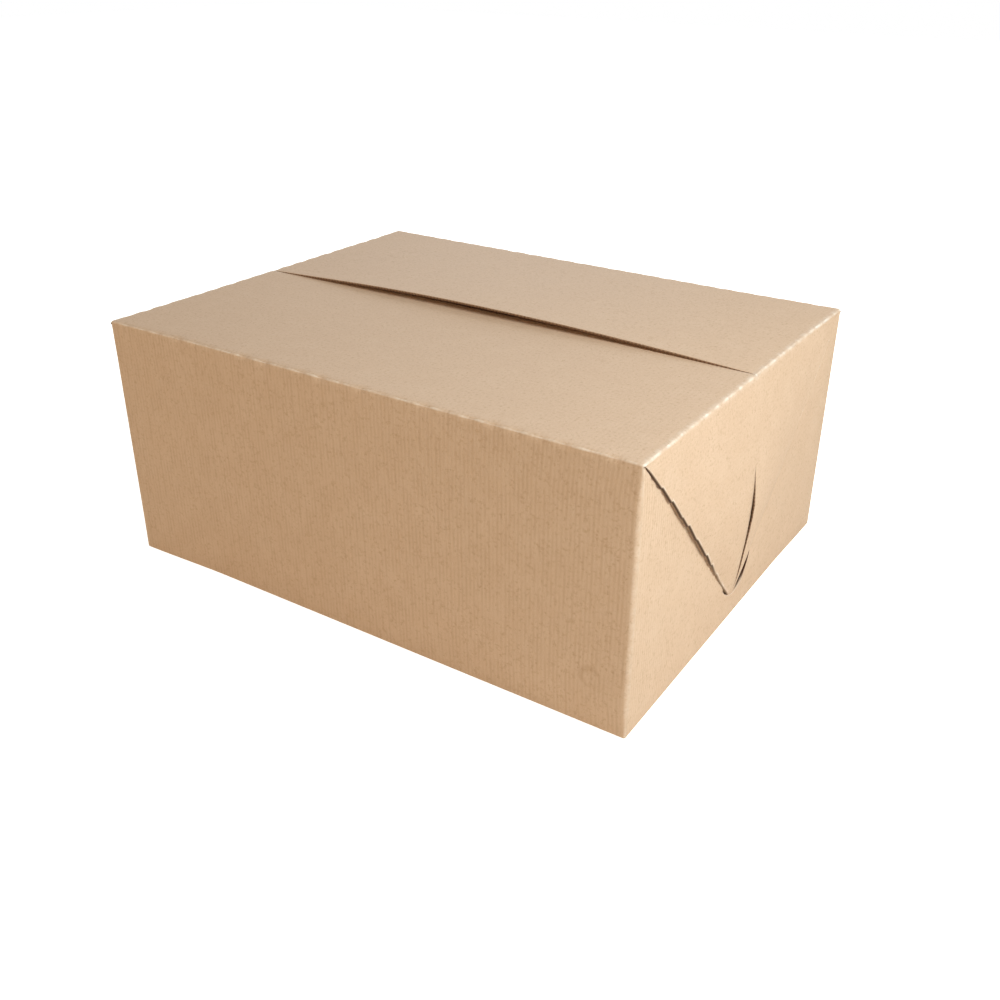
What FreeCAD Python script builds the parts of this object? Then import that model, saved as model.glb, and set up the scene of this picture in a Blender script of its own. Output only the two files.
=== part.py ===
import FreeCAD, Part
import math
import os

from FreeCAD import Vector

# A closed box folded from one sheet of thin fluted board, in millimetres.
# X runs along the front wall, Y from front to back, Z up; the origin is the middle of the bottom.
# At each end a double triangular ear folds down from the top and tucks its tip into the end wall.

# Driving dimensions of the box
LENGTH = 455.0             # front wall, crease to crease
WIDTH = 350.0              # end wall, crease to crease
HEIGHT = 200.0             # floor to the top creases
BOARD = 1.6                # thickness of the board
PLY_GAP = 0.4              # air between plies that lie on each other
BEND_RADIUS = 0.6          # inside radius of a plain crease
CUT_WIDTH = 0.4            # width of a cut between two panels

# Driving dimensions of the top flaps
SEAM_OFFSET = 3.5          # the back flap's free edge lies this far in front of the middle
FLAP_BOW = 7.5             # rise of the back flap's free edge at mid length
FLAP_END = 6.0             # flat strip at each end of the bowed flap
LIP_DEPTH = 12.0           # the front flap's lip under the back flap
LIP_SETBACK = 60.0         # from the end crease to the start of the lip

# Driving dimensions of the ears and of the cuts that lock them
EAR_GROWTH = 9.0           # the ear is this much longer than half the end wall
EAR_BELLY = 7.5            # the ear's face stands out this far at mid depth
EAR_RIM = 3.0              # closed rim along the ear's slanting folds
TIP_BLUNT = 5.0            # cut off each slanting fold at the ear's tip
TIP_TUCK = 6.0             # reach of the tip behind the lower lip of the cut
SLIT_OPENING = 3.5         # widest opening of the ear's middle slit
SLIT_TIGHT = 60.0          # length of the slit that stays tight
TONGUE_RADIUS = 28.0       # round end of the tongue that the ear pushes in
TONGUE_ARM = 5.0           # straight run of the cut above its round end
TONGUE_ANGLE = 10.5        # the tongue is bent in by this many degrees
CORNER_RUN = 30.0          # from a corner to where the end wall is fully pushed in

# Driving dimensions of the perforated creases
CREASE_CHAMFER = 0.4       # small bevel where a perforated crease is cut
NICK_PITCH = 17.5          # from one uncut bridge to the next
NICK_LENGTH = 5.0          # length of a bridge
NICK_DEPTH = 1.2           # a bridge is pulled in by this much

# Driving dimensions of the bottom
INNER_FLAP = 175.0         # length of each short bottom flap

# Values worked out from the driving dimensions
HALF_LENGTH = LENGTH / 2
HALF_WIDTH = WIDTH / 2
OUTER_BEND = BEND_RADIUS + BOARD
FLAT_HALF = HALF_WIDTH - OUTER_BEND                  # half of the end wall's flat width
PACK = 2 * BOARD + PLY_GAP                           # the ear's two plies
PUSH_IN = PACK + PLY_GAP                             # the ear pushes the wall's top in by this
FOLD_RADIUS = PACK / 2                               # outside of the fold that turns right back
FOLD_TOP = BOARD + PLY_GAP                           # depth of that fold's crown under the top
FOLD_CENTRE = FOLD_TOP + FOLD_RADIUS
EAR_DEPTH = HALF_WIDTH + EAR_GROWTH
CUT_BOTTOM = EAR_DEPTH - TIP_TUCK
CUT_CENTRE = CUT_BOTTOM - TONGUE_RADIUS
TONGUE_HINGE = CUT_CENTRE - TONGUE_ARM
PUSH_DEPTH = TONGUE_HINGE - TONGUE_ARM               # the wall is flat again at this depth
SPARE = 10.0                                         # cutters reach this far past the board


def block(x0, x1, y0, y1, z0, z1):
    """A plain block between two opposite corners."""
    return Part.makeBox(x1 - x0, y1 - y0, z1 - z0, Vector(x0, y0, z0))


def prism(points, run):
    """A polygon moved along a vector."""
    return Part.Face(Part.makePolygon(points + points[:1])).extrude(run)


def at(out, y, depth):
    """A point at the right end: out from the end wall, across, and down from the top."""
    return Vector(HALF_LENGTH + out, y, HEIGHT - depth)


def bent_edges(shape, bottom):
    """The upright edges of a block, and those around its bottom."""
    found = []
    for edge in shape.Edges:
        box = edge.BoundBox
        if box.ZLength > HEIGHT / 2 or box.ZMax < bottom + BOARD / 2:
            found.append(edge)
    return found


def tube_with_ends():
    """Four walls, top and bottom as one hollow sheet form with bent edges."""
    outer = block(-HALF_LENGTH, HALF_LENGTH, -HALF_WIDTH, HALF_WIDTH, 0, HEIGHT)
    outer = outer.makeFillet(OUTER_BEND, bent_edges(outer, 0))
    rim = [edge for edge in outer.Edges if edge.BoundBox.ZMin > HEIGHT - BOARD]
    outer = outer.makeChamfer(CREASE_CHAMFER, rim)
    inner = block(-HALF_LENGTH + BOARD, HALF_LENGTH - BOARD,
                  -HALF_WIDTH + BOARD, HALF_WIDTH - BOARD, BOARD, HEIGHT - BOARD)
    return outer.cut(inner.makeFillet(BEND_RADIUS, bent_edges(inner, BOARD)))


def bottom_flaps():
    """The two short flaps that lie inside, glued on the long ones."""
    side = HALF_WIDTH - BOARD - BEND_RADIUS
    end = HALF_LENGTH - BOARD
    left = block(-end, -end + INNER_FLAP, -side, side, BOARD, 2 * BOARD)
    right = block(end - INNER_FLAP, end, -side, side, BOARD, 2 * BOARD)
    return [left, right]


def bottom_seam():
    """The cut where the two long bottom flaps meet."""
    reach = HALF_LENGTH - OUTER_BEND
    return block(-reach, reach, -CUT_WIDTH / 2, CUT_WIDTH / 2, -SPARE, BOARD)


def back_flap_window():
    """What the bowed back flap replaces in the flat top."""
    reach = HALF_LENGTH - FLAP_END
    return block(-reach, reach, -SEAM_OFFSET - CUT_WIDTH, HALF_WIDTH - OUTER_BEND,
                 HEIGHT - BOARD, HEIGHT + SPARE)


def bowed_back_flap():
    """The back flap: straight at its crease, arched along its free edge."""
    reach = HALF_LENGTH - FLAP_END
    crease_y = HALF_WIDTH - OUTER_BEND
    crease = Part.makeLine(Vector(-reach, crease_y, HEIGHT), Vector(reach, crease_y, HEIGHT))
    arch = Part.Arc(Vector(-reach, -SEAM_OFFSET, HEIGHT),
                    Vector(0, -SEAM_OFFSET, HEIGHT + FLAP_BOW),
                    Vector(reach, -SEAM_OFFSET, HEIGHT)).toShape()
    return Part.makeRuledSurface(crease, arch).extrude(Vector(0, 0, -BOARD))


def front_flap_lip():
    """The front flap's edge runs on under the bowed back flap, with slanting ends."""
    near = -SEAM_OFFSET - CUT_WIDTH - BOARD
    far = -SEAM_OFFSET + LIP_DEPTH
    reach = HALF_LENGTH - LIP_SETBACK
    outline = [Vector(-reach, near, HEIGHT), Vector(reach, near, HEIGHT),
               Vector(reach - LIP_DEPTH, far, HEIGHT), Vector(-reach + LIP_DEPTH, far, HEIGHT)]
    return prism(outline, Vector(0, 0, -BOARD))


def seam_ends():
    """The cut between the flaps at each flat end, over the ear's top fold."""
    cuts = []
    for side in (-1, 1):
        x0, x1 = sorted((side * (HALF_LENGTH - FLAP_END), side * (HALF_LENGTH + SPARE)))
        cuts.append(block(x0, x1, -SEAM_OFFSET - CUT_WIDTH, -SEAM_OFFSET,
                          HEIGHT - FOLD_TOP, HEIGHT + SPARE))
    return cuts


def wall_opening():
    """The triangle of flat end wall that the ear pushes in."""
    corners = [at(-BOARD, -FLAT_HALF, 0), at(-BOARD, FLAT_HALF, 0), at(-BOARD, 0, PUSH_DEPTH)]
    triangle = prism(corners, Vector(BOARD, 0, 0))
    top = block(0, LENGTH, -HALF_WIDTH, HALF_WIDTH, HEIGHT - BOARD, HEIGHT)
    return triangle.cut(top)


def pushed_in_wall():
    """Three flat facets: the wall leans in under the ear and meets the corners."""
    shoulder = FLAT_HALF - CORNER_RUN
    front, back = at(0, -FLAT_HALF, 0), at(0, FLAT_HALF, 0)
    front_in, back_in = at(-PUSH_IN, -shoulder, 0), at(-PUSH_IN, shoulder, 0)
    foot = at(0, 0, PUSH_DEPTH)
    facets = [[front, front_in, foot], [front_in, back_in, foot], [back_in, back, foot]]
    sheets = [prism(facet, Vector(-BOARD, 0, 0)) for facet in facets]
    wall = sheets[0].multiFuse(sheets[1:])
    corner_top = block(0, LENGTH, -HALF_WIDTH, HALF_WIDTH, HEIGHT - FOLD_TOP, HEIGHT)
    fold_top = block(0, LENGTH, -shoulder, shoulder, HEIGHT - FOLD_CENTRE, HEIGHT)
    return wall.cut(corner_top).cut(fold_top)


def turned_fold():
    """The fold along the wall's top that turns right back into the ear's inner ply."""
    reach = FLAT_HALF - CORNER_RUN
    centre = at(-PUSH_IN + PLY_GAP / 2, -reach, FOLD_CENTRE)
    outside = Part.makeCylinder(FOLD_RADIUS, 2 * reach, centre, Vector(0, 1, 0))
    inside = Part.makeCylinder(PLY_GAP / 2, 2 * reach, centre, Vector(0, 1, 0))
    lower = block(0, LENGTH, -reach, reach, HEIGHT - FOLD_CENTRE - SPARE, HEIGHT - FOLD_CENTRE)
    return outside.cut(inside).cut(lower)


def ear_profile(shift):
    """The ear's face seen from the front, moved in by shift: it leans out, then in behind the lip."""
    shoulder = PACK + 2 * PLY_GAP
    lip = -FOLD_TOP
    slope = (shoulder - lip) / (CUT_BOTTOM - CUT_CENTRE)
    stations = [(0, 0), (PUSH_IN, CORNER_RUN), (EAR_BELLY, EAR_DEPTH / 2), (shoulder, CUT_CENTRE),
                (lip, CUT_BOTTOM), (lip - slope * TIP_TUCK, EAR_DEPTH)]
    curve = Part.BSplineCurve()
    curve.interpolate([at(out - shift, -HALF_WIDTH, depth) for out, depth in stations])
    return curve.toShape()


def ear_layer(outer_shift, inner_shift):
    """A layer between two copies of the ear's profile, as wide as the end wall."""
    outer, inner = ear_profile(outer_shift), ear_profile(inner_shift)
    top = Part.makeLine(inner.Vertexes[0].Point, outer.Vertexes[0].Point)
    tip = Part.makeLine(outer.Vertexes[-1].Point, inner.Vertexes[-1].Point)
    wire = Part.Wire(Part.__sortEdges__([outer, tip, inner, top]))
    return Part.Face(wire).extrude(Vector(0, WIDTH, 0))


def ear_outline(inset, nicked):
    """A triangle that hangs from the end's top edge, as a prism through the end wall."""
    run = math.hypot(FLAT_HALF, EAR_DEPTH)
    across, down = FLAT_HALF / run, EAR_DEPTH / run

    def on_fold(along, inward):
        return (-FLAT_HALF + across * along + down * inward, down * along - across * inward)

    points = [on_fold(0, 0)]
    if inset:
        start = inset * run / EAR_DEPTH
        points = [(-FLAT_HALF + start, 0)]
    if nicked:
        along = NICK_PITCH
        while along < run - TIP_BLUNT - NICK_PITCH:
            points += [on_fold(along - NICK_LENGTH, 0), on_fold(along - NICK_LENGTH, NICK_DEPTH),
                       on_fold(along, 0)]
            along += NICK_PITCH
    points.append(on_fold(run - TIP_BLUNT - inset, inset))
    far_side = [(-y, depth) for y, depth in reversed(points)]
    corners = [at(-SPARE - PACK, y, depth) for y, depth in points + far_side]
    return prism(corners, Vector(3 * SPARE, 0, 0))


def ear_slit():
    """The middle cut through the ear's outer ply: tight above, a lens below."""
    half = CUT_WIDTH / 2
    end = EAR_DEPTH - 2 * EAR_RIM - TIP_BLUNT
    hairline = block(HALF_LENGTH - SPARE, HALF_LENGTH + SPARE, -half, half,
                     HEIGHT - end, HEIGHT - SLIT_TIGHT / 2)
    leaning = prism([at(-SPARE, -SEAM_OFFSET - CUT_WIDTH, -SPARE), at(-SPARE, -SEAM_OFFSET, -SPARE),
                     at(-SPARE, -SEAM_OFFSET, 0), at(-SPARE, half, SLIT_TIGHT),
                     at(-SPARE, -half, SLIT_TIGHT), at(-SPARE, -SEAM_OFFSET - CUT_WIDTH, 0)],
                    Vector(2 * SPARE, 0, 0))
    middle = (SLIT_TIGHT + end) / 2
    near = Part.Arc(at(-SPARE, 0, SLIT_TIGHT), at(-SPARE, -SLIT_OPENING / 2, middle), at(-SPARE, 0, end))
    far = Part.Arc(at(-SPARE, 0, end), at(-SPARE, SLIT_OPENING / 2, middle), at(-SPARE, 0, SLIT_TIGHT))
    lens = Part.Face(Part.Wire([near.toShape(), far.toShape()])).extrude(Vector(2 * SPARE, 0, 0))
    return leaning.multiFuse([hairline, lens])


def ear():
    """Two plies joined along the slanting folds, with a thin space between them."""
    pack = ear_layer(0, PACK).common(ear_outline(0, True))
    space = ear_layer(BOARD, BOARD + PLY_GAP).common(ear_outline(EAR_RIM, False))
    over_fold = block(HALF_LENGTH - PUSH_IN - 2 * BOARD, HALF_LENGTH - BOARD,
                      -FLAT_HALF + EAR_RIM, FLAT_HALF - EAR_RIM, HEIGHT - FOLD_TOP, HEIGHT - BOARD)
    outer_ply = ear_layer(-SPARE, BOARD + PLY_GAP / 2)
    return pack.cut(space).cut(over_fold).cut(ear_slit().common(outer_ply))


def tongue_shape(margin):
    """The tongue's outline as a prism: straight arms and a round end."""
    radius = TONGUE_RADIUS - margin
    near_top, near_end = at(-SPARE, -radius, TONGUE_HINGE), at(-SPARE, -radius, CUT_CENTRE)
    far_top, far_end = at(-SPARE, radius, TONGUE_HINGE), at(-SPARE, radius, CUT_CENTRE)
    round_end = Part.Arc(near_end, at(-SPARE, 0, CUT_CENTRE + radius), far_end).toShape()
    outline = [Part.makeLine(near_top, near_end), round_end,
               Part.makeLine(far_end, far_top), Part.makeLine(far_top, near_top)]
    return Part.Face(Part.Wire(outline)).extrude(Vector(2 * SPARE, 0, 0))


def tongue():
    """The tongue of end wall, bent in about its top by the ear's tip."""
    board = block(HALF_LENGTH - BOARD, HALF_LENGTH, -HALF_WIDTH, HALF_WIDTH, 0, HEIGHT)
    flat = tongue_shape(CUT_WIDTH).common(board)
    flat.rotate(at(0, 0, TONGUE_HINGE), Vector(0, 1, 0), TONGUE_ANGLE)
    return flat


def end_parts():
    """What is added at the right end once the flat end wall is cut."""
    return [pushed_in_wall(), turned_fold(), ear(), tongue()]


def nick(length):
    """A notch across a crease along Y at the origin: the bridge pulled in."""
    reach = NICK_DEPTH * 2
    points = [Vector(reach, -length / 2, -reach), Vector(reach, -length / 2, reach),
              Vector(-reach, -length / 2, reach)]
    return prism(points, Vector(0, length, 0))


def nicks_along(edge_length, place):
    """Copies of the notch at an even pitch, symmetric about the crease's middle."""
    count = int((edge_length - 2 * OUTER_BEND) / NICK_PITCH) - 1
    row = []
    for index in range(count):
        notch = nick(NICK_LENGTH)
        notch.Placement = place((index - (count - 1) / 2) * NICK_PITCH)
        row.append(notch)
    return row


def crease_nicks():
    """The notches along all four top creases."""
    up = Vector(0, 0, 1)

    def placed(turn, away):
        spin = FreeCAD.Rotation(up, turn)
        return lambda along: FreeCAD.Placement(spin.multVec(Vector(away, along, HEIGHT)), spin)

    row = []
    for turn in (0, 180):
        row += nicks_along(WIDTH, placed(turn, HALF_LENGTH))
    for turn in (90, 270):
        row += nicks_along(LENGTH, placed(turn, HALF_WIDTH))
    return row


def folded_box():
    """The whole sheet, folded up and closed, as one solid."""
    opening = [wall_opening(), tongue_shape(0)]
    cuts = [back_flap_window(), bottom_seam()]
    parts = [bowed_back_flap(), front_flap_lip()] + bottom_flaps()
    for shape in opening:
        cuts += [shape, shape.mirror(Vector(0, 0, 0), Vector(1, 0, 0))]
    for shape in end_parts():
        parts += [shape, shape.mirror(Vector(0, 0, 0), Vector(1, 0, 0))]
    body = tube_with_ends().cut(cuts[0].multiFuse(cuts[1:]))
    body = body.multiFuse(parts)
    finish = seam_ends() + crease_nicks()
    return body.cut(finish[0].multiFuse(finish[1:])).removeSplitter()


def main():
    os.makedirs("parts", exist_ok=True)
    box = folded_box()
    solids = box.Solids
    print("solids", len(solids), "valid", box.isValid(), "volume", round(box.Volume))
    box = solids[0] if len(solids) == 1 else box
    box.exportStep("parts/folded_box.step")


main()
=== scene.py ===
import math
import random

import bmesh
import bpy
from mathutils import Euler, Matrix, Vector, noise


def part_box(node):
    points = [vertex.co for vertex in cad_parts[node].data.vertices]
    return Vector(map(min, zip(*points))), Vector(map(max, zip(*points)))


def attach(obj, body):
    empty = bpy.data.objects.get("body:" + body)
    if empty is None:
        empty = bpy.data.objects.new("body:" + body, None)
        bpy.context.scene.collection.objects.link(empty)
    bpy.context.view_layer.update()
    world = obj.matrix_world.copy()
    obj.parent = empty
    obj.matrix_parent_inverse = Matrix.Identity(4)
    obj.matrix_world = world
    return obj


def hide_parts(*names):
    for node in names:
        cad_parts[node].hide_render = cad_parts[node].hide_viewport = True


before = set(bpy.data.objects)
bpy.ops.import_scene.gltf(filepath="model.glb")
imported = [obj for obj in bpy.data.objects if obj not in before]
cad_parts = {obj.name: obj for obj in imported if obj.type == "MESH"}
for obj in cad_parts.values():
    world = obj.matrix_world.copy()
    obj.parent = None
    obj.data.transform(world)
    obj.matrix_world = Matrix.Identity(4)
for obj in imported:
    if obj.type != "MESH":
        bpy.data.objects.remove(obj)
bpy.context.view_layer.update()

MM = 0.001
RIGHT_ANGLE = math.pi / 2


def in_mm(*stops):
    """A curve's stops of (place, height), given in millimetres."""
    return [(place * MM, height * MM) for place, height in stops]


# The board and the box that is folded from it
NODE_LOW, NODE_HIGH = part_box("folded_box")
BOARD = 1.6 * MM
PLY_GAP = 0.4 * MM
PACK = 2 * BOARD + PLY_GAP         # an ear's two plies
CLEARANCE = 0.3 * MM               # between boards that lie against each other
WAVE = 3.2 * MM                    # from one flute of the board to the next
HALF_WIDTH = (NODE_HIGH.y - NODE_LOW.y) / 2
HALF_LENGTH = 227.5 * MM
HEIGHT = 200 * MM
CREASE = 1.5 * MM                  # outside radius of the top and bottom creases

# The upright creases. The sharp ones, at the front left and the back right, lie out of the rectangle.
UPRIGHT = 3.4 * MM                 # outside radius of the round ones at mid height
SHARP_UPRIGHT = 1.9 * MM           # and of the sharp ones
UPRIGHT_END = 30 * MM              # the radius grows over this length from their ends
FRONT_LEFT_OUT = (2.4 * MM, 1.2 * MM)    # how far out, at the bottom and at the top
BACK_RIGHT_OUT = (1.4 * MM, 1.4 * MM)
OUT_REACH = 90 * MM                # the board beside them follows over this length

# The seam of the top flaps and the slit of each ear lie on one line
SEAM = -3.5 * MM
SEAM_GAP = 0.7 * MM
SEAM_REACH = 14 * MM               # the board gives way to the gap over this length
FLAP_BOW = 6.9 * MM                # rise of the back flap's free edge at mid length
BOW_SETBACK = 7 * MM               # the edge lies flat this near to the ends
BOW_ALONG, BOW_ACROSS = 1.1, 1.15  # powers that shape the bow, along the edge and up to it
LIP = 17 * MM                      # the front flap runs on this far under the back flap
LIP_SETBACK = 9 * MM

# The slit's gap and the step between an ear's two halves, by the depth below the top
SLIT = in_mm((0, 0), (70, 0), (84, 0.5), (100, 1.3), (114, 1.0), (132, 0.7), (150, 0.5), (159, 0.1),
             (167, 0), (186, 0))
PROUD = in_mm((0, 0), (68, 0), (82, 0.7), (97, 1.8), (112, 1.6), (132, 1.0), (150, 0.9), (163, 0.3),
              (172, 0), (186, 0))
BACK_PROUD, FRONT_PROUD = 0.6, -0.4      # each half's share of the step at the slit
PROUD_REACH = 50 * MM

# Perforated creases: cuts with uncut bridges between them
PITCH = 17.5 * MM
PITCH_PLAY = 1.5 * MM
TOP_MARGIN = 6 * MM                # the bridges keep at least this far from the corners
END_MARGIN = 8 * MM
SLANT_START = 22 * MM
SLANT_MARGIN = 8 * MM
SLANT_PITCH = 22 * MM
SLANT_PLAY = 5 * MM
BRIDGE = 1.2 * MM
BRIDGE_STRENGTH = (0.3, 1.0)
RAMP = 6.5 * MM
RAMP_POINTS = (-0.85, -0.3, 0.3, 0.85)   # shares of a bridge and its ramps that need points
FRONT_DENT = 1.7 * MM              # bridges are drawn in this far, at the front, the back and the ends
BACK_DENT = 0.5 * MM
END_DENT = 0.8 * MM
DENT_REACH = 5 * MM
TOOTH = 2.4 * MM                   # depth of the slanting fold's teeth
TOOTH_STEP = 2.5 * MM              # a tooth steps back over this length
TOOTH_RUN = 9 * MM                 # its slope needs a point here
TOOTH_FADE = (22 * MM, 40 * MM)    # the teeth fade out this near to the slit

# The ears, and the round cut that locks each ear's tip; depths are measured down from the top
EAR_DEPTH = 183 * MM
TUCK = 154 * MM                    # the tip starts to go in behind the end wall
PUSH_EDGE = (-3 * MM, 7 * MM)      # the end wall gives way over this length across the slanting folds
PUSH_END = (156 * MM, 178 * MM)
TONGUE_RADIUS = 28 * MM
CUT_CENTRE = 150 * MM
HINGE = 145 * MM
TONGUE_DEPTH = 5.4 * MM            # the tongue's end is pressed in this far
TONGUE_FRONT = (-25 * MM, -13 * MM)      # but not at its front, where it starts between these places
LIP_BULGE = 0.9 * MM               # the tip pushes the cut's lower lip out this far
LIP_FROM = (0.72, 0.93)            # the lower lip starts between these shares of the cut's radius
CUT_SHADE_REACH = 8 * MM                # the rest of the cut's edge gets painted shade, more over this length towards the back

# The window round the cut has stations of its own
WINDOW_HALF = 34 * MM
WINDOW_TOP = 139 * MM
WINDOW_BOTTOM = 186 * MM
WINDOW_PLAY = 0.1 * MM
FACES_END = 0.7                    # a face that points to an end by this much is an end wall's
FIELD_RINGS = [0, 0.1, 0.25, 0.5, 0.75, 1]
TONGUE_RINGS = [0, 0.35, 0.6, 0.8, 0.92, 1]

# How far an ear's outer face stands out from the end wall, at its middle and at its folds
EAR_MIDDLE = in_mm((0, 0), (20, 2.3), (60, 6.6), (95, 8.9), (120, 7.7), (147, 4.9), (160, 3.5),
                   (170, 1.3), (177, -0.1), (186, -1.8))
FRONT_RIM = in_mm((0, 0.3), (23, 1.6), (50, 3.2), (90, 3.6), (112, 3.1), (132, 1.7), (154, 0.5),
                  (164, 0.7), (171, 1.0), (177, -0.3), (186, -2.0))
BACK_RIM = in_mm((0, 0.2), (23, 0.9), (50, 1.7), (90, 2.0), (112, 1.7), (132, 1.0), (154, 0.3),
                 (166, 0.1), (177, -0.1), (186, -1.8))
EAR_START = 10 * MM                # the ear leaves the wall's plane over this length

# The bottom flaps
BOTTOM_GAP = 0.3 * MM              # half the gap between the long ones
SHORT_GAP = 0.2 * MM               # the short ones lie this far above the long ones
SHORT_SETBACK = 4 * MM
SHORT_FLAP = 175 * MM

# Unevenness of the panels, which calms down towards their creases
BROAD_SIZE, BROAD_HEIGHT = 90 * MM, 0.35 * MM
SMALL_SIZE, SMALL_HEIGHT = 24 * MM, 0.07 * MM
CALM = 25 * MM
CALM_UPRIGHT = 30 * MM
END_CALM = 0.7                     # the end walls' share of it
FLAP_CALM = 0.8                    # and the top flaps'
WALL_SEED, FLAP_SEED, END_SEED = 3, 5, 7

# Wear of the creases, where 1 is worn pale; the same mark carries a painted highlight on the cut's lower lip
BOTTOM_WEAR = 0.35
UPRIGHT_WEAR = 0.13
UPRIGHT_TOP_WEAR = 0.4
END_WEAR = 0.2
END_RIDGE_WEAR = 0.2
END_BRIDGE_WEAR = 0.4
CORNER_WEAR = 0.3
PANEL_END_WEAR = 0.3
TOP_RIDGE_WEAR = 0.45
TOP_BRIDGE_WEAR = 0.2
FOLD_WEAR = 0.15
TOOTH_WEAR = 0.4
# A painted highlight on the cut's lower lip, where its edge faces up into the light
LIP_HIGHLIGHT = 0.4
TOOTH_WORN = (0.1, 0.8)            # from this much of a tooth's height on
FOLD_REACH = 1.5 * MM              # worn this far from the fold
CORNER_REACH = 3 * MM
UPRIGHT_REACH = 6 * MM
PANEL_REACH = (2 * MM, 4 * MM)

# The torn board inside the slanting folds, darkened towards a painted deep shade for the fold's shadowed
# underside: round the fold in radians and down it
RAW_SHADE_START = (0.15, 0.65)
RAW_SHADE_END = (1.1, 2.1)
RAW_SHADE_LOW = (112 * MM, 142 * MM)
RAW_SHADE_END_LOSS = 0.85                # the share that is lost on the inner ply
RAW_SHADE_LOW_LOSS = 0.4                 # and low down

# Stations and the steps between them
APART = 1.4 * MM                   # stations keep this far apart
WIDE_STEP = 40 * MM                # along the long walls
END_STEP = 7 * MM                  # along the end walls
WINDOW_STEP = 5 * MM
LOW_STEP = 6 * MM                  # up the walls, below the window
HIGH_STEP = 8 * MM                 # and above it
FLAP_STEP = 16 * MM                # over the top flaps
EDGE_STEP = 4 * MM                 # near the seam
BOTTOM_STEP = 20 * MM
BEND_STEPS = 5
TURN_STEPS = 6
CORNER_STATION = 4.5 * MM          # the first station of a long wall after its corner
TOP_ROWS = [HEIGHT - 8 * MM, HEIGHT - 6 * MM, HEIGHT - 4 * MM, HEIGHT - CREASE]
FIRST_ROWS = [0, 1.5 * MM, 3 * MM, 6 * MM]
EAR_SHARES = [0, 0.02, 0.06, 0.14, 0.26]
EAR_EVEN_SHARES = (0.36, 0.9, 0.06)
EAR_LAST_SHARES = [0.95, 0.98, 1]
INNER_SHARES = [1, 0.75, 0.5, 0.25, 0]
LIP_SHARES = [0, 0.1, 0.2, 0.3, 0.6, 1]


def blend(value, low, high):
    """0 below low, 1 above high, smooth between them."""
    share = min(1.0, max(0.0, (value - low) / (high - low)))
    return share * share * (3 - 2 * share)


def curve_through(stops, place):
    """A smooth curve through stops of (place, height)."""
    place = min(max(place, stops[0][0]), stops[-1][0])
    index = max(i for i in range(len(stops) - 1) if stops[i][0] <= place)
    (x0, y0), (x1, y1) = stops[index], stops[index + 1]
    before = stops[max(index - 1, 0)]
    after = stops[min(index + 2, len(stops) - 1)]
    run = x1 - x0
    leave = (y1 - before[1]) / (x1 - before[0]) * run
    arrive = (after[1] - y0) / (after[0] - x0) * run
    t = (place - x0) / run
    return ((2 * t**3 - 3 * t**2 + 1) * y0 + (t**3 - 2 * t**2 + t) * leave
            + (3 * t**2 - 2 * t**3) * y1 + (t**3 - t**2) * arrive)


def spaced(low, high, step):
    """Even stations from low to high, about a step apart."""
    count = max(1, round((high - low) / step))
    return [low + (high - low) * index / count for index in range(count + 1)]


def merged(*lists):
    """Stations of several lists in order, without near doubles; the first and the last stay."""
    places = sorted(sum(lists, []))
    kept = places[:1]
    for place in places[1:-1]:
        if place - kept[-1] > APART and places[-1] - place > APART:
            kept.append(place)
    return kept + places[-1:]


class Perforation:
    """Bridges along a crease from low to high, at an uneven pitch."""

    def __init__(self, low, high, pitch, play, seed):
        dice = random.Random(seed)
        count = int((high - low) / pitch)
        start = (low + high - (count - 1) * pitch) / 2
        self.bridges = [(start + index * pitch + dice.uniform(-play, play), dice.uniform(*BRIDGE_STRENGTH))
                        for index in range(count)]

    def stations(self):
        """Where the crease needs points."""
        reach = BRIDGE / 2 + RAMP
        return [centre + share * reach for centre, _ in self.bridges for share in RAMP_POINTS]

    def steps(self):
        """Where a toothed fold needs points."""
        return [centre + offset for centre, _ in self.bridges for offset in (-TOOTH_STEP, 0, TOOTH_RUN)]

    def tooth(self, place):
        """The edge runs out slowly after each bridge, from 1 to 0, and steps back before the next."""
        value = 0
        for (centre, strength), (following, onward) in zip(self.bridges, self.bridges[1:]):
            if centre <= place < following:
                run = following - centre
                value = max(strength * (1 - (place - centre) / (run - TOOTH_STEP)),
                            onward * (1 - (following - place) / TOOTH_STEP), 0)
        return value

    def pull(self, place):
        """1 on a bridge, which is pulled in, and 0 on a cut."""
        half = BRIDGE / 2
        return max(strength * (1 - blend(abs(place - centre), half, half + RAMP))
                   for centre, strength in self.bridges)


FOLD_STRETCH = math.hypot(HALF_WIDTH, EAR_DEPTH) / HALF_WIDTH
top_crease = Perforation(-HALF_LENGTH + TOP_MARGIN, HALF_LENGTH - TOP_MARGIN, PITCH, PITCH_PLAY, seed=4)
end_crease = Perforation(-HALF_WIDTH + END_MARGIN, HALF_WIDTH - END_MARGIN, PITCH, PITCH_PLAY, seed=9)
slant_crease = Perforation(SLANT_START, HALF_WIDTH * FOLD_STRETCH - SLANT_MARGIN, SLANT_PITCH, SLANT_PLAY,
                           seed=3)


def unevenness(point, seed):
    """Soft unevenness of a panel."""
    broad = noise.noise(point / BROAD_SIZE + Vector((seed, 0, 0)))
    small = noise.noise(point / SMALL_SIZE + Vector((0, seed, 0)))
    return BROAD_HEIGHT * broad + SMALL_HEIGHT * small


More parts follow.
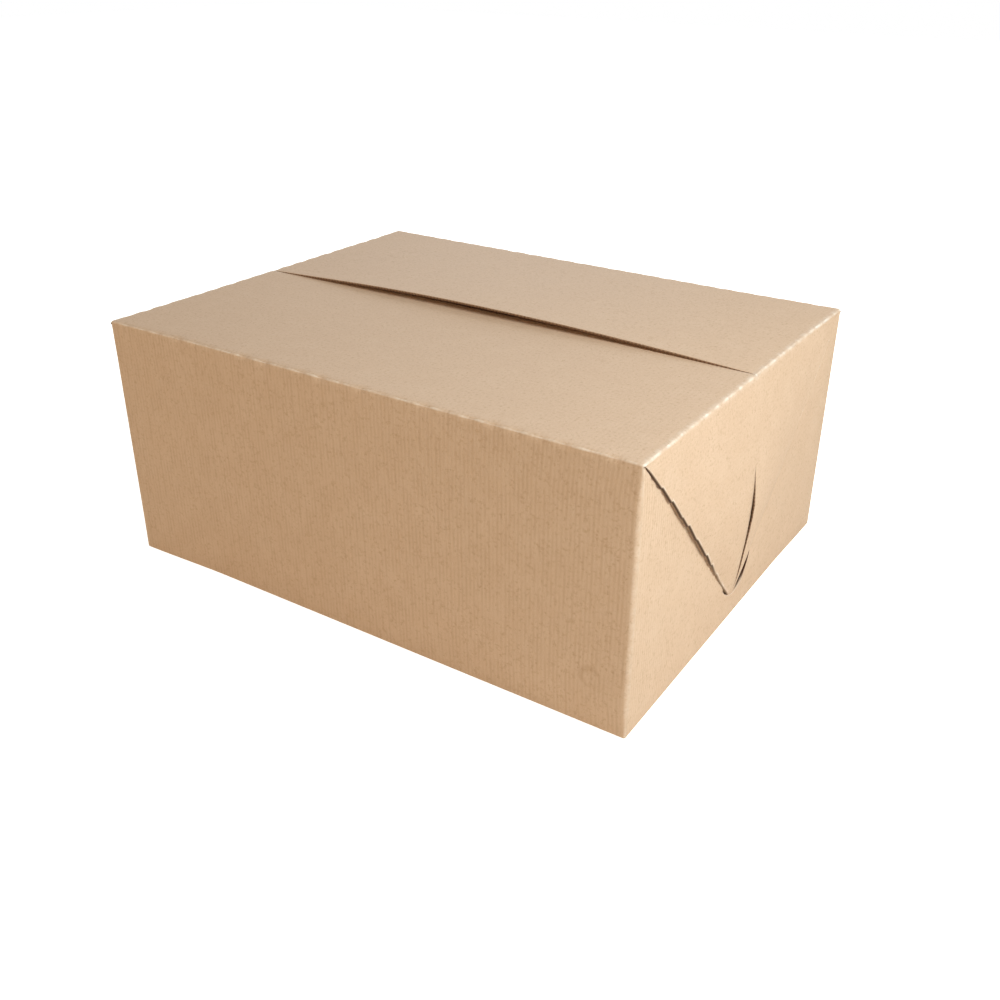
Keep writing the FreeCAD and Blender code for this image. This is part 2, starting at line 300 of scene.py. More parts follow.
def sheet(bm, columns, rows, place):
    """A grid of stations. place gives each point, its two marks (worn pale, with a painted highlight on the
    cut's lip; torn board, with painted shade), and its place on the flutes.
    """
    wear_and_highlight, raw_and_shade = bm.verts.layers.float["wear_and_highlight"], bm.verts.layers.float["raw_and_shade"]
    flutes = bm.loops.layers.uv["flutes"]
    made = bmesh.ops.create_grid(bm, x_segments=len(columns) - 1, y_segments=len(rows) - 1, size=0.5)
    spots = {}
    for vertex in made["verts"]:
        column = columns[round((vertex.co.x + 0.5) * (len(columns) - 1))]
        row = rows[round((vertex.co.y + 0.5) * (len(rows) - 1))]
        vertex.co, (vertex[wear_and_highlight], vertex[raw_and_shade]), spots[vertex] = place(column, row)
    faces = list({face for vertex in made["verts"] for face in vertex.link_faces})
    middle = made["verts"][len(rows) // 2 * len(columns) + len(columns) // 2].link_faces[0]
    for face in faces:
        face.smooth = True
        face.normal_update()
        for loop in face.loops:
            loop[flutes].uv = spots[loop.vert]
    outward = middle.calc_center_median() - Vector((0, 0, HEIGHT / 2))
    if middle.normal.dot(outward) < 0:
        bmesh.ops.reverse_faces(bm, faces=faces)
    return faces


def flap_reach(side):
    """How far a top flap reaches from its crease to the seam."""
    return HALF_WIDTH - side * SEAM - CREASE


def rim_out(side, depth):
    """How far an ear stands out from the end wall at its fold."""
    return curve_through(FRONT_RIM if side < 0 else BACK_RIM, depth)


def ear_out(side, across, depth):
    """How far an ear's outer face stands out from the end wall's plane."""
    middle = flap_reach(side)
    fold = middle * min(depth / EAR_DEPTH, 1.0)
    share = (across - fold) / max(middle - fold, 1 * MM)
    share = math.sin(RIGHT_ANGLE * min(max(share, 0.0), 1.0))
    rim = rim_out(side, depth)
    proud = (BACK_PROUD if side > 0 else FRONT_PROUD) * max(curve_through(PROUD, depth), 0)
    belly = curve_through(EAR_MIDDLE, depth) + proud * blend(across, middle - PROUD_REACH, middle)
    return (rim + (belly - rim) * share) * blend(across, 0, EAR_START)


def wall_push(side, across, depth):
    """How far an ear pushes the end wall in; across is measured from the nearer upright crease."""
    need = PACK + CLEARANCE - rim_out(side, min(depth, TUCK))
    middle = HALF_WIDTH - side * SEAM
    inside = (across / middle * EAR_DEPTH - depth) * middle / math.hypot(middle, EAR_DEPTH)
    return need * blend(inside, *PUSH_EDGE) * (1 - blend(depth, *PUSH_END))


def upright_radius(x, y, z):
    """The upright creases are tight at their ends."""
    edge = min(z, HEIGHT - z) - CREASE
    widest = SHARP_UPRIGHT if x * y > 0 else UPRIGHT
    return CREASE + (widest - CREASE) * blend(edge, 0, UPRIGHT_END)


def drawn_out(point):
    """The point, moved out with the nearest sharp upright, since the box isn't quite a rectangle."""
    if point.x * point.y <= 0:
        return point
    away = max(HALF_WIDTH - abs(point.y), 0) + max(HALF_LENGTH - abs(point.x), 0)
    low, high = BACK_RIGHT_OUT if point.x > 0 else FRONT_LEFT_OUT
    out = (low + (high - low) * point.z / HEIGHT) * (1 - blend(away, 0, OUT_REACH))
    return point + Vector((math.copysign(out, point.x), math.copysign(out, point.y), 0))


def crease_dent(dent, pull, distance):
    """How far a perforated crease is drawn in at this distance from its ridge."""
    return dent * pull * (1 - blend(distance, 0, DENT_REACH))


def wall_point(station, z, inset):
    """A point of the four walls; inset moves it in round the bottom crease."""
    wall, value = station
    if wall in ("front", "back"):
        side = -1 if wall == "front" else 1
        radius = upright_radius(value, side, z)
        x = value * (HALF_LENGTH - radius) / (HALF_LENGTH - CREASE)
        normal = Vector((0, side, 0))
        point = Vector((x, side * HALF_WIDTH, z))
        flute = value if side < 0 else 2 * HALF_LENGTH + 2 * HALF_WIDTH - value
        distance = HEIGHT - CREASE - z
        dent = FRONT_DENT if side < 0 else BACK_DENT
        push = crease_dent(dent, top_crease.pull(value), distance + CREASE)
        fade = blend(HALF_LENGTH - abs(x), CREASE, CALM_UPRIGHT) * blend(distance, 0, CALM)
        push -= unevenness(point, WALL_SEED) * fade * blend(z, 0, CALM)
    elif wall in ("right", "left"):
        side = 1 if wall == "right" else -1
        radius = upright_radius(side, value, z)
        y = value * (HALF_WIDTH - radius) / (HALF_WIDTH - CREASE)
        normal = Vector((side, 0, 0))
        point = Vector((side * HALF_LENGTH, y, z))
        flute = (HALF_LENGTH + HALF_WIDTH + value if side > 0
                 else 3 * HALF_LENGTH + 3 * HALF_WIDTH - value)
        push = wall_push(1 if y > 0 else -1, HALF_WIDTH - abs(y), HEIGHT - z)
        fade = blend(HALF_WIDTH - abs(y), CREASE, CALM_UPRIGHT)
        push -= END_CALM * unevenness(point, END_SEED) * fade * blend(z, 0, CALM)
    else:
        side_x, side_y = wall
        radius = upright_radius(side_x, side_y, z)
        normal = Vector((side_x * math.sin(value), side_y * math.cos(value), 0))
        centre = Vector((side_x * (HALF_LENGTH - radius), side_y * (HALF_WIDTH - radius), z))
        point = centre + normal * radius
        turned = value / RIGHT_ANGLE * CREASE
        flute = {(1, -1): HALF_LENGTH - CREASE + turned,
                 (1, 1): HALF_LENGTH + 2 * HALF_WIDTH + CREASE - turned,
                 (-1, 1): 3 * HALF_LENGTH + 2 * HALF_WIDTH - CREASE + turned,
                 (-1, -1): 3 * HALF_LENGTH + 4 * HALF_WIDTH + CREASE - turned}[wall]
        wear_and_highlight = UPRIGHT_WEAR + UPRIGHT_TOP_WEAR * blend(z, HEIGHT - UPRIGHT_REACH, HEIGHT - CREASE)
        return point - normal * inset, (wear_and_highlight, 0), (flute, z)
    return point - normal * (push + inset), (0, 0), (flute, z)


BEND_ANGLES = [RIGHT_ANGLE * index / BEND_STEPS for index in range(BEND_STEPS + 1)]
LONG_STATIONS = merged(spaced(-HALF_LENGTH + CREASE, HALF_LENGTH - CREASE, WIDE_STEP), top_crease.stations(),
                       [-HALF_LENGTH + CORNER_STATION, HALF_LENGTH - CORNER_STATION])
END_STATIONS = merged(spaced(-HALF_WIDTH + CREASE, -WINDOW_HALF, END_STEP),
                      spaced(-WINDOW_HALF, WINDOW_HALF, WINDOW_STEP),
                      spaced(WINDOW_HALF, HALF_WIDTH - CREASE, END_STEP))
WALL_LEVELS = merged(spaced(CREASE, HEIGHT - WINDOW_BOTTOM, LOW_STEP),
                     spaced(HEIGHT - WINDOW_BOTTOM, HEIGHT - WINDOW_TOP, WINDOW_STEP),
                     spaced(HEIGHT - WINDOW_TOP, HEIGHT - 12 * MM, HIGH_STEP), TOP_ROWS)


def walls(bm):
    """The four walls and the creases round the bottom, without the windows round the cuts."""
    def corner(side_x, side_y, angles):
        return [((side_x, side_y), angle) for angle in angles]

    columns = [("front", x) for x in LONG_STATIONS]
    columns += corner(1, -1, BEND_ANGLES[1:-1])
    columns += [("right", y) for y in END_STATIONS]
    columns += corner(1, 1, BEND_ANGLES[-2:0:-1])
    columns += [("back", x) for x in reversed(LONG_STATIONS)]
    columns += corner(-1, 1, BEND_ANGLES[1:-1])
    columns += [("left", y) for y in reversed(END_STATIONS)]
    columns += corner(-1, -1, BEND_ANGLES[-2::-1])
    levels = [("bend", angle) for angle in reversed(BEND_ANGLES[1:])]
    levels += [("level", z) for z in WALL_LEVELS]

    def place(column, row):
        kind, value = row
        if kind == "level":
            return wall_point(column, value, 0)
        z = CREASE - CREASE * math.sin(value)
        point, _, (flute, _) = wall_point(column, CREASE, CREASE - CREASE * math.cos(value))
        return Vector((point.x, point.y, z)), (BOTTOM_WEAR, 0), (flute, -CREASE * value)

    faces = sheet(bm, columns, levels, place)
    inside = [face for face in faces
              if abs(face.calc_center_median().y) < WINDOW_HALF
              and HEIGHT - WINDOW_BOTTOM < face.calc_center_median().z < HEIGHT - WINDOW_TOP
              and abs(face.normal.x) > FACES_END]
    bmesh.ops.delete(bm, geom=inside, context="FACES")


def cut_outline(direction):
    """How far a ray from the cut's centre runs to the cut or to the tongue's hinge."""
    across, up = direction
    if up <= 0:
        return TONGUE_RADIUS
    return min(TONGUE_RADIUS / max(abs(across), 1e-6), (CUT_CENTRE - HINGE) / up)


def lock(bm, wall):
    """The field of the end wall round its cut, and the tongue that is pressed in there."""
    outward = 1 if wall == "right" else -1
    ys = [y for y in END_STATIONS if abs(y) < WINDOW_HALF + WINDOW_PLAY]
    zs = [z for z in WALL_LEVELS
          if HEIGHT - WINDOW_BOTTOM - WINDOW_PLAY < z < HEIGHT - WINDOW_TOP + WINDOW_PLAY]
    rim = ([(y, zs[0]) for y in ys] + [(ys[-1], z) for z in zs[1:]]
           + [(y, zs[-1]) for y in reversed(ys[:-1])] + [(ys[0], z) for z in reversed(zs[:-1])])
    centre = (0.0, HEIGHT - CUT_CENTRE)

    def on_outline(spot):
        away = Vector((spot[0] - centre[0], spot[1] - centre[1])).normalized()
        return Vector(centre) + away * cut_outline(away)

    def field(spot, share):
        edge = on_outline(spot)
        y, z = edge.lerp(Vector(spot), share)
        point, _, uv = wall_point((wall, y), z, 0)
        # A painted highlight on the cut's lower lip, and painted shade on the rest of its edge, where the
        # gap lies in shadow
        lip_share = blend((centre[1] - edge.y) / TONGUE_RADIUS, *LIP_FROM)
        cut_shade = (1 - lip_share) * blend(edge.x, 0, CUT_SHADE_REACH)
        point.x += outward * LIP_BULGE * lip_share * (1 - blend(share, 0, 1))
        return point, (LIP_HIGHLIGHT * lip_share, cut_shade) if share == 0 else (0, 0), uv

    def tongue(spot, share):
        y, z = Vector(centre).lerp(on_outline(spot), share)
        point, marks, uv = wall_point((wall, y), z, 0)
        below = max(HEIGHT - HINGE - z, 0) / (CUT_CENTRE + TONGUE_RADIUS - HINGE)
        point.x -= outward * TONGUE_DEPTH * below**3 * blend(y, *TONGUE_FRONT)
        return point, marks, uv

    sheet(bm, rim, FIELD_RINGS, field)
    sheet(bm, rim, TONGUE_RINGS, tongue)


def flap_point(side, column, row):
    """A point of a top flap with its two ear halves. row is the way run from the wall's top."""
    zone, end, value = column
    angle = RIGHT_ANGLE + min(row, 0) / CREASE
    across = max(row, 0)
    if zone == "panel":
        return panel_point(side, value, angle, across)
    y = side * (HALF_WIDTH - CREASE + CREASE * math.cos(angle) - across)
    middle = flap_reach(side)
    if zone == "bend":
        end_pull = end_crease.pull(y) if across > END_MARGIN else 0
        y = side * (HALF_WIDTH - CREASE + CREASE * math.cos(value) * math.cos(angle) - across)
        ridge = max(0.0, math.sin(2 * value))
        out = CREASE * math.sin(value) - CREASE - END_DENT * end_pull * ridge
        drop = CREASE - CREASE * math.cos(value) * math.sin(angle) + END_DENT * end_pull * ridge
        wear_and_highlight = END_WEAR + ridge * (END_RIDGE_WEAR + END_BRIDGE_WEAR * end_pull)
        wear_and_highlight += CORNER_WEAR if across < CORNER_REACH else 0
        flute = flap_flute(side, end * (HALF_LENGTH - CREASE + CREASE * value))
        y += side * seam_shift(across, middle, SEAM_GAP * (1 - value / RIGHT_ANGLE) if side < 0 else 0)
        return Vector((end * (HALF_LENGTH + out), y, HEIGHT - drop)), (wear_and_highlight, 0), (flute, across + HEIGHT)
    tooth = slant_crease.tooth(across * FOLD_STRETCH)
    reach = EAR_DEPTH * across / middle
    reach -= TOOTH * tooth * blend(middle - across, *TOOTH_FADE)
    radius = min(PACK / 2, max(reach, 0) / 3)
    flat = max(reach, 0) - radius
    if zone == "outer":
        drop = value * flat
        out = ear_out(side, across, drop)
        wear_and_highlight = blend(drop, flat - FOLD_REACH, flat) * (FOLD_WEAR + TOOTH_WEAR * blend(tooth, *TOOTH_WORN))
        flute = (flap_flute(side, end * (HALF_LENGTH + drop)), across + HEIGHT)
        marks, gap = (wear_and_highlight, 0), max(curve_through(SLIT, drop), 0) / 2
    elif zone == "fold":
        out = ear_out(side, across, flat) - radius + radius * math.cos(value)
        drop = flat + radius * math.sin(value)
        flute = (flap_flute(side, end * (HALF_LENGTH + drop)), across + HEIGHT)
        # The fold's face is darkened as torn board and as painted shade, less on the inner ply and low down
        rawness_and_shade = blend(value, *RAW_SHADE_START) * (1 - RAW_SHADE_END_LOSS * blend(value, *RAW_SHADE_END))
        rawness_and_shade *= 1 - RAW_SHADE_LOW_LOSS * blend(flat, *RAW_SHADE_LOW)
        marks, gap = (0, rawness_and_shade), 0
    else:
        drop = value * flat
        out = ear_out(side, across, drop) - 2 * radius
        marks, flute, gap = (0, 0), (y, -drop), 0
    y += side * seam_shift(across, middle, gap)
    return Vector((end * (HALF_LENGTH + out), y, HEIGHT - CREASE - drop)), marks, flute


def seam_shift(across, middle, gap):
    """The last stretch of a flap gives way to the gap at the seam."""
    return gap * blend(across, middle - SEAM_REACH, middle)


def panel_point(side, x, angle, across):
    """A point of a top flap's panel or of its crease with the wall."""
    middle = flap_reach(side)
    pull = top_crease.pull(x)
    ridge = max(0.0, math.sin(2 * angle)) if across == 0 else 0
    y = side * (HALF_WIDTH - CREASE + CREASE * math.cos(angle) - across)
    y += side * seam_shift(across, middle, SEAM_GAP if side < 0 else 0)
    point = Vector((x, y, HEIGHT - CREASE + CREASE * math.sin(angle)))
    fade = blend(across, 0, CALM) * blend(HALF_LENGTH - abs(x), CREASE, CALM)
    point.z += FLAP_CALM * unevenness(point, FLAP_SEED + side) * fade
    if side > 0:
        point.z += bow(x) * (across / middle)**BOW_ACROSS
    distance = across + CREASE * (1 - ridge)
    inward = Vector((0, -side * math.cos(angle), -math.sin(angle)))
    point += inward * crease_dent(FRONT_DENT if side < 0 else BACK_DENT, pull, distance)
    if across > END_MARGIN:
        point.z -= crease_dent(END_DENT, end_crease.pull(y), HALF_LENGTH - abs(x))
    wear_and_highlight = PANEL_END_WEAR * (1 - blend(HALF_LENGTH - abs(x), *PANEL_REACH)) if across > 0 else 0
    wear_and_highlight = max(wear_and_highlight, ridge * (TOP_RIDGE_WEAR + TOP_BRIDGE_WEAR * pull**3))
    return point, (wear_and_highlight, 0), (flap_flute(side, x), across + HEIGHT)


def bow(x):
    """Rise of the back flap's free edge."""
    return FLAP_BOW * max(0.0, 1 - (x / (HALF_LENGTH - BOW_SETBACK))**2)**BOW_ALONG


def flap_flute(side, x):
    """The flutes of a flap follow on from its wall's."""
    return x if side < 0 else 2 * HALF_LENGTH + 2 * HALF_WIDTH - x


def top_flap(bm, side):
    """A top flap: its crease, its panel and its half of each ear, folded back on itself."""
    outer = EAR_SHARES + spaced(*EAR_EVEN_SHARES) + EAR_LAST_SHARES
    half_turn = [math.pi * index / TURN_STEPS for index in range(TURN_STEPS + 1)]
    right = [("bend", 1, angle) for angle in BEND_ANGLES[1:]]
    right += [("outer", 1, share) for share in outer[1:]]
    right += [("fold", 1, angle) for angle in half_turn[1:]]
    right += [("inner", 1, share) for share in INNER_SHARES]
    left = [(zone, -1, value) for zone, _, value in reversed(right)]
    columns = left + [("panel", 0, x) for x in LONG_STATIONS] + right
    end = flap_reach(side)
    slant = [place / FOLD_STRETCH for place in slant_crease.steps()]
    ends = [HALF_WIDTH - CREASE - abs(y) for y in end_crease.stations() if y * side > SEAM * side]
    rows = [-CREASE * (RIGHT_ANGLE - angle) for angle in BEND_ANGLES[:-1]]
    rows += merged(FIRST_ROWS + [end], spaced(END_MARGIN, end - FLAP_STEP, FLAP_STEP), slant,
                   [place for place in ends if place < end - 3 * MM],
                   spaced(end - SEAM_REACH, end - 2 * MM, EDGE_STEP))
    sheet(bm, columns, rows, lambda column, row: flap_point(side, column, row))


def lip(bm):
    """The front flap's free edge, which dips under the back flap."""
    reach = HALF_LENGTH - LIP_SETBACK
    stations = [x for x in LONG_STATIONS if abs(x) < reach]

    def place(x, share):
        point, marks, (flute, way) = panel_point(-1, x, RIGHT_ANGLE, flap_reach(-1))
        run = min(LIP, reach - abs(x)) * share
        dip = max(BOARD + CLEARANCE - bow(x), 0.0) * blend(share, 0, 0.3)
        return point + Vector((0, run, -dip)), marks, (flute, way + run)

    sheet(bm, stations, LIP_SHARES, place)


def bottom(bm):
    """Two long bottom flaps that meet in the middle, under two short ones."""
    across = spaced(-HALF_WIDTH + SHORT_SETBACK, HALF_WIDTH - SHORT_SETBACK, BOTTOM_STEP)
    for side in (-1, 1):
        rows = sorted([side * BOTTOM_GAP] + [y for y in END_STATIONS if y * side > 3 * BOTTOM_GAP])
        sheet(bm, LONG_STATIONS, rows,
              lambda x, y: (Vector((x, y, 0)), (0, 0), (flap_flute(side, x), -abs(y))))
    for side in (-1, 1):
        ends = sorted([side * (HALF_LENGTH - SHORT_SETBACK), side * (HALF_LENGTH - SHORT_FLAP)])
        sheet(bm, spaced(*ends, BOTTOM_STEP), across,
              lambda x, y: (Vector((x, y, BOARD + SHORT_GAP)), (0, 0), (y, x)))


def folded_sheet(materials):
    """The whole box as one folded sheet of board with its thickness."""
    bm = bmesh.new()
    bm.verts.layers.float.new("wear_and_highlight")
    bm.verts.layers.float.new("raw_and_shade")
    bm.loops.layers.uv.new("flutes")
    walls(bm)
    for wall in ("right", "left"):
        lock(bm, wall)
    for side in (-1, 1):
        top_flap(bm, side)
    lip(bm)
    bottom(bm)
    bmesh.ops.remove_doubles(bm, verts=bm.verts, dist=0.01 * MM)
    bmesh.ops.dissolve_degenerate(bm, edges=bm.edges, dist=0.002 * MM)
    for vertex in bm.verts:
        vertex.co = drawn_out(vertex.co)
    mesh = bpy.data.meshes.new("board_sheet")
    bm.to_mesh(mesh)
    bm.free()
    piece = bpy.data.objects.new("board_sheet", mesh)
    bpy.context.collection.objects.link(piece)
    for material in materials:
        mesh.materials.append(material)
    board = piece.modifiers.new("board", "SOLIDIFY")
    board.thickness = BOARD
    board.offset = -1
    board.material_offset_rim = 1
    return piece


class Value:
    """A socket of a material that takes part in Python expressions."""

    def __init__(self, finish, socket):
        self.finish = finish
        self.socket = socket

    def math(self, operation, *others):
        return self.finish.node("Math", {"operation": operation}, dict(enumerate((self,) + others)))

    def __add__(self, other):
        return self.math("ADD", other)

    def __mul__(self, other):
        return self.math("MULTIPLY", other)

    __radd__ = __add__
    __rmul__ = __mul__

    def ramp(self, low, high, to_low=0.0, to_high=1.0):
        """Smooth from to_low at low to to_high at high."""
        return self.finish.node("MapRange", {"interpolation_type": "SMOOTHSTEP"},
                                {"Value": self, "From Min": low, "From Max": high,
                                 "To Min": to_low, "To Max": to_high})


class Finish:
    """The nodes of a material, or of the surrounding."""

    def __init__(self, owner):
        owner.use_nodes = True
        self.owner = owner
        self.tree = owner.node_tree

    def node(self, kind, settings=None, values=None, output=0):
        """Add a node with its settings and the values or links of its sockets."""
        made = self.tree.nodes.new("ShaderNode" + kind)
        for name, value in (settings or {}).items():
            setattr(made, name, value)
        self.fill(made, values or {})
        return Value(self, made.outputs[output])

    def fill(self, node, values):
        """Give a node's sockets their values or links."""
        for name, value in values.items():
            if isinstance(value, Value):
                self.tree.links.new(value.socket, node.inputs[name])
            else:
                node.inputs[name].default_value = value

    def surface(self, values):
        """Give the surface its values or links."""
        self.fill(self.tree.nodes["Principled BSDF"], values)

    def mix(self, share, first, second):
        """Mix two colours."""
        return self.node("Mix", {"data_type": "RGBA"}, {0: share, 6: first, 7: second}, output=2)

    def noise(self, place, scale, detail=2.0, roughness=0.5):
        return self.node("TexNoise", {}, {"Vector": place, "Scale": scale, "Detail": detail,
                                          "Roughness": roughness})

    def attribute(self, name):
        """A mark of the sheet's points: worn pale, with a painted highlight on the cut's lip, or torn board,
        with painted shade.
        """
        return self.node("Attribute", {"attribute_name": name}, output=2)

    def axis(self, place, output):
        """One axis of a place."""
        return self.node("SeparateXYZ", {}, {0: place}, output=output)

    def distance(self, place, spot):
        return self.node("VectorMath", {"operation": "DISTANCE"}, {0: place, 1: spot}, output=1)

    def stretched(self, place, scale):
        """A place scaled by its own share along each axis."""
        return self.node("VectorMath", {"operation": "MULTIPLY"}, {0: place, 1: scale})


# Colours of the liner, of its marks and of the cut board
KRAFT = (0.59, 0.403, 0.255, 1)
KRAFT_DARK = (0.49, 0.318, 0.189, 1)
KRAFT_PALE = (0.68, 0.495, 0.341, 1)
WORN = (0.83, 0.72, 0.58, 1)
RAW = (0.075, 0.036, 0.016, 1)
RAW_PALE = (0.32, 0.18, 0.095, 1)
# The next colour is painted deep shade for the slanting folds and the cut's gap
DEEP_SHADE = (0.045, 0.012, 0.001, 1)
STAIN = (0.40, 0.24, 0.13, 1)

# The crescent mark on the front wall and the speck on the front flap
STAIN_PLACE = Vector((0.1985, -HALF_WIDTH, 0.0400))
STAIN_HOLLOW = STAIN_PLACE + Vector((2.0, 0, -2.0)) * MM
STAIN_INSIDE = (4.5 * MM, 7.5 * MM)
STAIN_OUTSIDE = (6.5 * MM, 10 * MM)
SPECK_PLACE = Vector((0.127, -0.040, HEIGHT))
SPECK_EDGE = (0.5 * MM, 3.5 * MM)
SPECK_STRENGTH = 0.22

# The flutes show through the liner as darker lines, partly their own tone and partly painted shade of their
# ridges, and are painted stronger on the long walls for how the light falls there
TOP_FLUTE_TONE_AND_SHADE, WALL_FLUTE_TONE_AND_SHADE = 0.10, 0.46
FLUTE_TURN = 2 * math.pi / WAVE    # radians of a flute for each metre
FLUTE_WOBBLE = 1.2                 # radians

# Cells of noise for each metre; the last two are given across and along the flutes
CLOUDS, WOBBLES, BLOTCHES, NICKS, SPECKS, ROUGHNESS = 7, 30, 55, 120, 420, 700
FIBRES = (2600, 420, 1)
FLUTE_BREAKS = (260, 45, 1)


def kraft_board():
    """Kraft liner with fibres, blotches and the flutes showing through."""
    finish = Finish(bpy.data.materials.new("kraft_liner"))
    place = finish.node("TexCoord", output=3)
    flutes = finish.node("UVMap", {"uv_map": "flutes"})
    blotches = finish.noise(place, BLOTCHES, 3, 0.6)
    clouds = finish.noise(place, CLOUDS)
    fibres = finish.noise(finish.stretched(flutes, FIBRES), 1.0, 3, 0.65)
    specks = finish.noise(place, SPECKS, 3, 0.7)
    wobble = finish.noise(place, WOBBLES)
    nicks = finish.noise(place, NICKS, 3, 0.6)
    broken = finish.noise(finish.stretched(flutes, FLUTE_BREAKS), 1.0).ramp(0.35, 0.65, 0.1, 1.0)
    wave = (finish.axis(flutes, 0) * FLUTE_TURN + wobble * FLUTE_WOBBLE).math("SINE")

    # The liner's own colour
    colour = finish.mix(clouds.ramp(0.25, 0.75, 0.88, 1.0), KRAFT_DARK, KRAFT)
    colour = finish.mix(blotches.ramp(0.35, 0.75) * 0.30, colour, KRAFT_PALE)
    colour = finish.mix(fibres.ramp(0.42, 0.72) * 0.50, colour, KRAFT_PALE)
    colour = finish.mix(specks.ramp(0.50, 0.72) * 0.9, colour, KRAFT_DARK)
    from_middle = finish.axis(place, 1).math("ABSOLUTE")
    strength = from_middle.ramp(HALF_WIDTH - 5 * MM, HALF_WIDTH - 1 * MM, TOP_FLUTE_TONE_AND_SHADE, WALL_FLUTE_TONE_AND_SHADE)
    # Flute lines: partly the liner's own tone, partly painted shade, stronger on the long walls
    colour = finish.mix(wave.ramp(-1, 1) * strength * broken, colour, KRAFT_DARK)

    # Its marks
    hollow = finish.distance(place, STAIN_HOLLOW).ramp(*STAIN_INSIDE)
    crescent = hollow * finish.distance(place, STAIN_PLACE).ramp(*STAIN_OUTSIDE, 1, 0)
    colour = finish.mix(crescent * wobble.ramp(0.3, 0.6, 0.15, 0.4), colour, STAIN)
    speck = finish.distance(place, SPECK_PLACE).ramp(*SPECK_EDGE, SPECK_STRENGTH, 0)
    colour = finish.mix(speck, colour, STAIN)

    # Worn creases and the painted highlight on the cut's lower lip; the torn folds and the cut's gap in
    # painted shade
    ragged_and_highlit = finish.attribute("wear_and_highlight") * nicks.ramp(0.40, 0.66, 0.4, 1.5)
    colour = finish.mix(ragged_and_highlit.math("MINIMUM", 1.0), colour, WORN)
    colour = finish.mix(finish.attribute("raw_and_shade"), colour, DEEP_SHADE)

    relief = wave * 0.5 + fibres * 0.5 + blotches * 0.25
    bump = finish.node("Bump", {}, {"Strength": 0.5, "Distance": 0.12 * MM, "Height": relief})
    finish.surface({"Base Color": colour, "Roughness": blotches.ramp(0.3, 0.7, 0.79, 0.84),
                    "Specular IOR Level": 0.5, "Normal": bump})
    return finish.owner


def cut_edge():
    """The cut edge of the board, where the flutes are cut. Worn edges and the painted highlight on the cut's
    lower lip are as pale as the liner; the torn folds and the cut's gap take painted deep shade.
    """
    finish = Finish(bpy.data.materials.new("cut_edge"))
    place = finish.node("TexCoord", output=3)
    flutes = finish.node("UVMap", {"uv_map": "flutes"})
    wave = (finish.axis(flutes, 0) * FLUTE_TURN).math("SINE")
    shade = wave.ramp(-0.8, 0.8) * 0.35 + finish.noise(place, ROUGHNESS) * 0.65
    rubbed_and_highlit = (finish.attribute("wear_and_highlight") * 2).math("MINIMUM", 1.0)
    colour = finish.mix(rubbed_and_highlit, finish.mix(shade, RAW, RAW_PALE), KRAFT_PALE)
    colour = finish.mix(finish.attribute("raw_and_shade"), colour, DEEP_SHADE)
    finish.surface({"Base Color": colour, "Roughness": 0.9})
    return finish.owner


# The white floor and surrounding, and the lamps
FLOOR_SIZE = 6
FLOOR_WHITE = (0.80, 0.75, 0.68, 1)
FLOOR_GLOW = 0.85
WORLD_WHITE = (1, 1, 1, 1)
WORLD_LEVEL = 0.33                 # what the surrounding lights; the camera sees it white
MIDDLE = (0, 0, HEIGHT / 2)
LAMPS = {
    # place, target, width, watts and colour
    "right_softbox": ((1.0, -0.22, 0.78), (0.2, 0, 0.12), 0.5, 13.8, (0.83, 0.91, 0.97)),
    "back_softbox": ((-1.0, 1.6, 0.85), MIDDLE, 1.2, 18, (0.82, 0.91, 1.0)),
    "front_fill": ((-0.5, -2.0, 0.7), MIDDLE, 1.4, 11.5, (1.0, 0.72, 0.40)),
}

# The camera that the photograph was taken with
CAMERA_LENS = 38.19
CAMERA_SENSOR = 36
CAMERA_SHIFT = (-0.0274, 0.0009)
CAMERA_PLACE = (0.4578, -0.6688, 0.4624)
CAMERA_TURN = (62.106, -0.729, 32.343)   # degrees
CAMERA_NEAR = 0.01


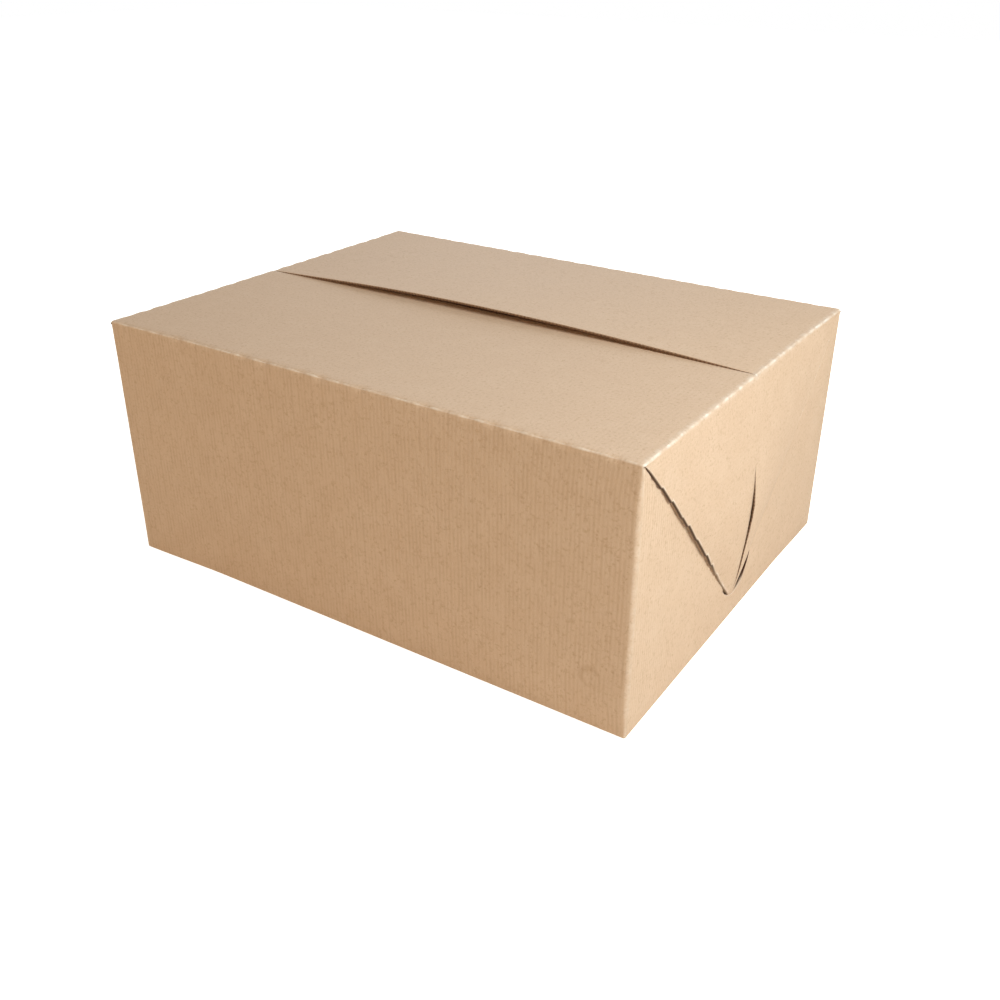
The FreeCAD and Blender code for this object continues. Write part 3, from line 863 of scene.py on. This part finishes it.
def stage():
    """A plain white floor that keeps the box's shadow, in a white surrounding."""
    bm = bmesh.new()
    bmesh.ops.create_grid(bm, x_segments=1, y_segments=1, size=FLOOR_SIZE)
    mesh = bpy.data.meshes.new("floor")
    bm.to_mesh(mesh)
    bm.free()
    floor = bpy.data.objects.new("floor", mesh)
    bpy.context.collection.objects.link(floor)
    white = Finish(bpy.data.materials.new("floor_white"))
    white.surface({"Base Color": FLOOR_WHITE, "Roughness": 0.9})
    matt = Value(white, white.tree.nodes["Principled BSDF"].outputs[0])
    glow = white.node("Emission", {}, {"Strength": white.node("LightPath") * FLOOR_GLOW})
    both = white.node("AddShader", {}, {0: matt, 1: glow})
    white.fill(white.tree.nodes["Material Output"], {"Surface": both})
    mesh.materials.append(white.owner)

    world = Finish(bpy.data.worlds.new("surrounding"))
    bpy.context.scene.world = world.owner
    shown = world.node("LightPath").math("MAXIMUM", world.node("LightPath", output="Is Glossy Ray"))
    level = world.node("MapRange", {}, {"Value": shown, "To Min": WORLD_LEVEL, "To Max": 1.0})
    world.fill(world.tree.nodes["Background"], {"Color": WORLD_WHITE, "Strength": level})


def lamp(name, place, target, width, watts, colour):
    """A soft square lamp that faces its target."""
    light = bpy.data.lights.new(name, "AREA")
    light.size = width
    light.energy = watts
    light.color = colour
    holder = bpy.data.objects.new(name, light)
    holder.location = place
    holder.rotation_euler = (Vector(target) - Vector(place)).to_track_quat("-Z", "Y").to_euler()
    bpy.context.collection.objects.link(holder)


def camera():
    """The camera, in the photograph's place."""
    lens = bpy.data.cameras.new("camera")
    lens.lens = CAMERA_LENS
    lens.sensor_width = CAMERA_SENSOR
    lens.shift_x, lens.shift_y = CAMERA_SHIFT
    lens.clip_start = CAMERA_NEAR
    holder = bpy.data.objects.new("camera", lens)
    holder.location = CAMERA_PLACE
    holder.rotation_euler = Euler([math.radians(angle) for angle in CAMERA_TURN])
    bpy.context.collection.objects.link(holder)
    bpy.context.scene.camera = holder


camera()
stage()
for name, values in LAMPS.items():
    lamp(name, *values)

box = folded_sheet([kraft_board(), cut_edge()])
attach(box, "root")
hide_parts("folded_box")

scene = bpy.context.scene
scene.view_settings.view_transform = "Standard"
